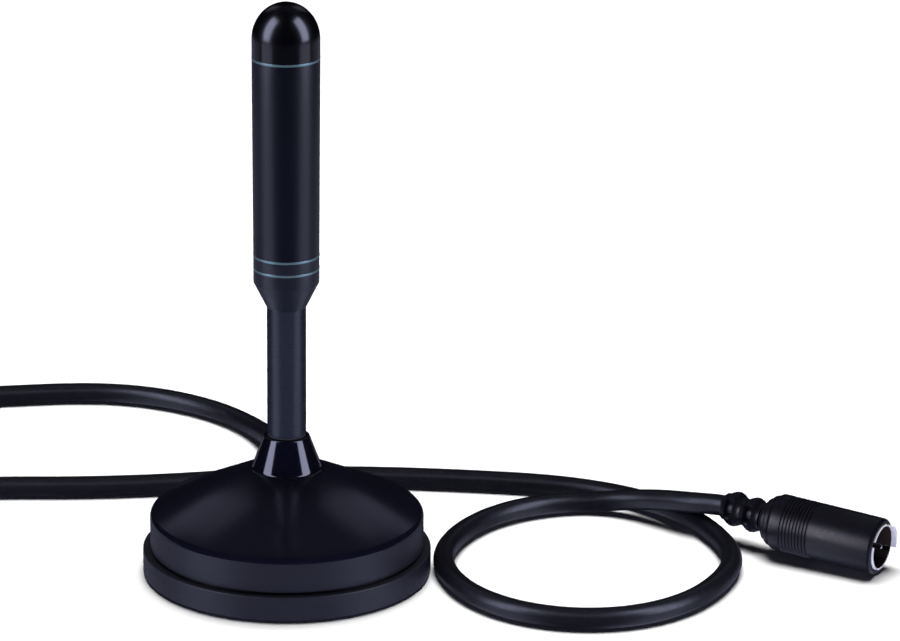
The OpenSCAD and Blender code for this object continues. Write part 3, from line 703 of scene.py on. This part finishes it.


# One finish for each of the record's slots, a few more for pieces whose sheen differs from their slot's, and
# painted shade for inside the plug's shell
FINISHES = {
    "foot_rubber": finish("matt_rubber", (0.012, 0.012, 0.013), 0.75, grain=0.00003),
    "casing_plastic": finish("satin_moulding", (0.0088, 0.0088, 0.0125), 0.42, specular=0.25,
                             mottle=0.08, grain_scale=1800, grain=0.000006),
    "cover_gloss": finish("polished_moulding", (0.0025, 0.0024, 0.0062), 0.2, specular=0.5,
                          mottle=0.1, rough_spread=0.02, grain_scale=150, grain=0.000001),
    "collar_gloss": finish("polished_collar", (0.0022, 0.0020, 0.0050), 0.10, specular=0.5,
                           mottle=0.1, rough_spread=0.02, grain_scale=150, grain=0.000002),
    "cap_gloss": finish("polished_cap", (0.0006, 0.0006, 0.001), 0.22, specular=0.5,
                        mottle=0.1, rough_spread=0.02, grain_scale=150, grain=0.000002),
    "magnet_ferrite": finish("fired_ferrite", (0.04, 0.04, 0.042), 0.6),
    "zinc_steel": finish("zinc_plate", (0.55, 0.56, 0.58), 0.32, metallic=1.0, stretch=(1, 1, 12)),
    "white_nylon": finish("natural_nylon", (0.75, 0.74, 0.70), 0.5),
    "board_laminate": finish("solder_resist", (0.01, 0.10, 0.035), 0.3, coat=0.3),
    "chip_ceramic": finish("chip_ceramic", (0.45, 0.33, 0.22), 0.55),
    "copper_wire": finish("enamelled_copper", (0.72, 0.30, 0.14), 0.28, metallic=1.0),
    "brass": finish("turned_brass", (0.72, 0.52, 0.22), 0.3, metallic=1.0, stretch=(1, 1, 10)),
    "lead_jacket": finish("pvc_jacket", (0.0026, 0.0026, 0.0038), 0.36, specular=0.35,
                          grain_scale=900, grain=0.00001),
    "plug_rubber": finish("moulded_pvc", (0.0026, 0.0026, 0.0042), 0.38, specular=0.4,
                          grain_scale=1600, grain=0.000012),
    "mast_satin": finish("satin_black", (0.0092, 0.0107, 0.0155), 0.30, specular=0.35, mottle=0.06,
                         rough_spread=0.03, grain_scale=200, stretch=(1, 1, 30), grain=0.000001),
    "ferrule_black": finish("anodised_ferrule", (0.0048, 0.0054, 0.0088), 0.36, specular=0.42,
                            grain_scale=120, stretch=(1, 1, 60), grain=0.000002),
    "anodised_black": finish("black_anodising", (0.0007, 0.0010, 0.0032), 0.36, specular=0.42,
                             grain_scale=120, stretch=(1, 1, 60), grain=0.000002),
    "trim_blue": finish("bright_cut_blue", (0.122, 0.20, 0.205), 0.35, metallic=0.72, mottle=0.05),
    "tie_strap": finish("woven_strap", (0.010, 0.010, 0.011), 0.8, waves=(260, 0.0002)),
    "plug_metal": finish("nickel_plate", (0.78, 0.78, 0.80), 0.14, metallic=1.0, mottle=0.05,
                         rough_spread=0.04, grain_scale=600, grain=0.000004),
    "shell_plate": finish("matt_nickel_plate", (0.82, 0.80, 0.80), 0.22, metallic=0.55, mottle=0.05,
                          rough_spread=0.04, grain_scale=600, grain=0.000004),
    "plug_insulator": finish("dark_insulator", (0.080, 0.058, 0.042), 0.5),
    # Painted shade: the shell's inner wall is made dark to stand in for the shade inside it
    "painted_shade_lining": finish("painted_shade_lining", (0.014, 0.0095, 0.008), 0.5, specular=0.3),
}


def paint(piece, slot_name):
    """Gives a piece its one material, in every slot that it has."""
    slots = piece.data.materials
    if not slots:
        slots.append(FINISHES[slot_name])
    for i in range(len(slots)):
        slots[i] = FINISHES[slot_name]


# Every carried-over CAD piece takes its slot's finish
for part in frame["record"]["subparts"]:
    paint(frame["nodes"][part["node"]], part["material_slot"])
paint(lead, "lead_jacket")

# The pieces made here: how each is made, the CAD node it stands for and its slot
ROOT_PIECES = [
    (make_foot_pad, "foot_pad", "foot_rubber"),
    (make_casing, "lower_casing", "casing_plastic"),
    (make_cover, "base_cover", "cover_gloss"),
    (make_collar, "mast_collar", "cover_gloss"),
    (make_grommet, "cable_grommet", "plug_rubber"),
    (make_tie, "coil_tie", "tie_strap"),
]
PLUG_PIECES = [
    (make_grip, "plug_grip", "plug_rubber"),
    (make_shell, "plug_shell", "plug_metal"),
    (make_insulator, "plug_insulator", "plug_insulator"),
    (make_pin, "plug_pin", "plug_metal"),
]
MAST_PIECES = [
    (make_stud, "mast_stud", "zinc_steel"),
    (make_mast, "mast_tube", "mast_satin"),
    (make_ferrule, "ferrule", "anodised_black"),
    (lambda: make_ring("lower_trim_ring", "trim_ring_lower"), "trim_ring_lower", "trim_blue"),
    (lambda: make_ring("middle_trim_ring", "trim_ring_middle"), "trim_ring_middle", "trim_blue"),
    (lambda: make_ring("upper_trim_ring", "trim_ring_upper"), "trim_ring_upper", "trim_blue"),
    (make_sleeve, "radiator_sleeve", "anodised_black"),
    (make_cap, "top_cap", "cover_gloss"),
]


def add(make, node, slot_name, body, place=None):
    """Makes a piece, puts it in place and lets it stand for its CAD node."""
    piece = make()
    if place is not None:
        piece.matrix_world = place
    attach(piece, body)
    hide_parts(node)
    paint(piece, slot_name)
    return piece


made = {node: add(make, node, slot_name, "root") for make, node, slot_name in ROOT_PIECES}
made["strain_relief"] = add(make_relief, "strain_relief", "plug_rubber", "root", RELIEF_PLACE)
for make, node, slot_name in PLUG_PIECES:
    made[node] = add(make, node, slot_name, "root", PLUG_PLACE)
made["seal_washer"] = add(make_washer, "seal_washer", "foot_rubber", "washer")
for make, node, slot_name in MAST_PIECES:
    made[node] = add(make, node, slot_name, "mast")

# Pieces whose sheen in the photo differs from their slot's other pieces
for node, finish_name in (("mast_collar", "collar_gloss"), ("top_cap", "cap_gloss"),
                          ("ferrule", "ferrule_black"), ("plug_shell", "shell_plate")):
    paint(made[node], finish_name)
# The shell's inner wall, short of the fingers' tips, takes painted shade as its second material
made["plug_shell"].data.materials.append(FINISHES["painted_shade_lining"])
plug = [made["strain_relief"], *(made[node] for _, node, _ in PLUG_PIECES)]


# ---- Stage and light ----

FLOOR_GREY = 0.78
SKY_COLOUR, SKY_LEVEL = (0.85, 0.9, 1), 0.005
BOX_COLOUR = (0.80, 0.84, 1.17)
AIM = (0, 0, 0.06)  # the soft boxes stand round this point, 1 m away, and face it
WATTS_PER_UNIT = 4  # an area light's power for each square metre and each unit of radiance


def make_floor():
    """A plain white sweep. Light from below it passes, as if thrown back up by a wide bright table."""
    reach = 3
    mesh = bpy.data.meshes.new("floor")
    mesh.from_pydata([(-reach, -reach, 0), (reach, -reach, 0), (reach, reach, 0), (-reach, reach, 0)],
                     [], [(0, 1, 2, 3)])
    floor = bpy.data.objects.new("floor", mesh)
    COLLECTION.objects.link(floor)
    material = bpy.data.materials.new("white_sweep")
    material.use_nodes = True
    shader = material.node_tree.nodes["Principled BSDF"]
    shader.inputs["Base Color"].default_value = (FLOOR_GREY, FLOOR_GREY, FLOOR_GREY, 1)
    shader.inputs["Roughness"].default_value = 1
    shader.inputs["Specular IOR Level"].default_value = 0
    mesh.materials.append(material)
    floor.visible_glossy = False
    floor.visible_shadow = False


def make_light(name, place, target, size, radiance, glossy=True, diffuse=True, colour=(1, 1, 1)):
    """A soft box at a place, facing a target. Radiance is what a mirror would show of it."""
    data = bpy.data.lights.new(name, "AREA")
    data.shape = "RECTANGLE"
    data.size, data.size_y = size
    data.energy = WATTS_PER_UNIT * radiance * size[0] * size[1]
    data.color = colour
    light = bpy.data.objects.new(name, data)
    light.location = place
    light.rotation_euler = (Vector(target) - Vector(place)).to_track_quat("-Z", "Y").to_euler()
    light.visible_glossy = glossy
    light.visible_diffuse = diffuse
    light.visible_camera = False
    COLLECTION.objects.link(light)
    return light


def make_box(name, azimuth, elevation, width, height, radiance, colour=BOX_COLOUR, **flags):
    """A soft box 1 m away: azimuth from the front towards +X, and its width and height in degrees."""
    a, e = math.radians(azimuth), math.radians(elevation)
    place = (math.sin(a) * math.cos(e), -math.cos(a) * math.cos(e), AIM[2] + math.sin(e))
    size = (2 * math.tan(math.radians(width / 2)), 2 * math.tan(math.radians(height / 2)))
    return make_light(name, place, AIM, size, radiance, colour=colour, **flags)


def make_world():
    """A faint even light from all round."""
    world = bpy.data.worlds.new("studio")
    world.use_nodes = True
    world.node_tree.nodes["Background"].inputs["Color"].default_value = (*SKY_COLOUR, 1)
    world.node_tree.nodes["Background"].inputs["Strength"].default_value = SKY_LEVEL
    bpy.context.scene.world = world


def light_only(light, lit_pieces):
    """The light falls on these pieces and on nothing else."""
    light.light_linking.receiver_collection = receivers = bpy.data.collections.new(light.name + "_lit")
    for piece in lit_pieces:
        receivers.objects.link(piece)


def light_all_but(light, dark_pieces):
    """The light falls on everything except these pieces, as if they stood behind a flag."""
    light_only(light, dark_pieces)
    for entry in light.light_linking.receiver_collection.collection_objects:
        entry.light_linking.link_state = "EXCLUDE"


make_floor()
make_world()
make_light("overhead", (0.06, 0.33, 1.6), (0, 0, 0), (1.1, 0.9), 12.4, glossy=False)

# Each box: azimuth, elevation, width and height in degrees, then radiance. With diffuse=False it shows
# only in reflections, and with glossy=False it lights without showing in them.
for side, name in ((-1, "left"), (1, "right")):
    tall = make_box(name + "_box", 69 * side, 30, 28, 60, 5, diffuse=False)
    low_box = make_box(name + "_low_box", 68 * side, -26, 40, 38, 0.95, diffuse=False)
    edge_box = make_box(name + "_edge_box", 128 * side, -22, 60, 30, 0.2, diffuse=False)
    make_box(name + "_under_box", 97 * side, -60, 50, 30, 0.7, diffuse=False)
    make_box(name + "_rim", 153 * side, 38, 14, 26, 0.28, diffuse=False)
    make_box(name + "_bounce", 90 * side, -24, 60, 20, 3, glossy=False)
    light_all_but(tall, [made["base_cover"], *plug])
    light_all_but(low_box, [made["base_cover"]])
    light_all_but(edge_box, [made["mast_tube"]])
light_all_but(make_box("front_bounce", 0, -24, 70, 25, 8.4, glossy=False), [lead])
light_only(make_box("lead_bounce", 0, -4, 70, 25, 9.5, glossy=False), [lead])
make_box("front_low_box", 0, -26, 90, 38, 0.05, diffuse=False)
make_box("back_top_box", 180, 66, 60, 30, 0.04, diffuse=False)
light_only(make_box("lead_top_box", 0, 47, 60, 14, 1.1, colour=(0.86, 0.85, 1), diffuse=False), [lead])
light_only(make_box("plug_box", -60, 15, 38, 40, 4.8, colour=(0.82, 0.80, 1), diffuse=False), plug)
bpy.context.scene.view_settings.view_transform = "Standard"
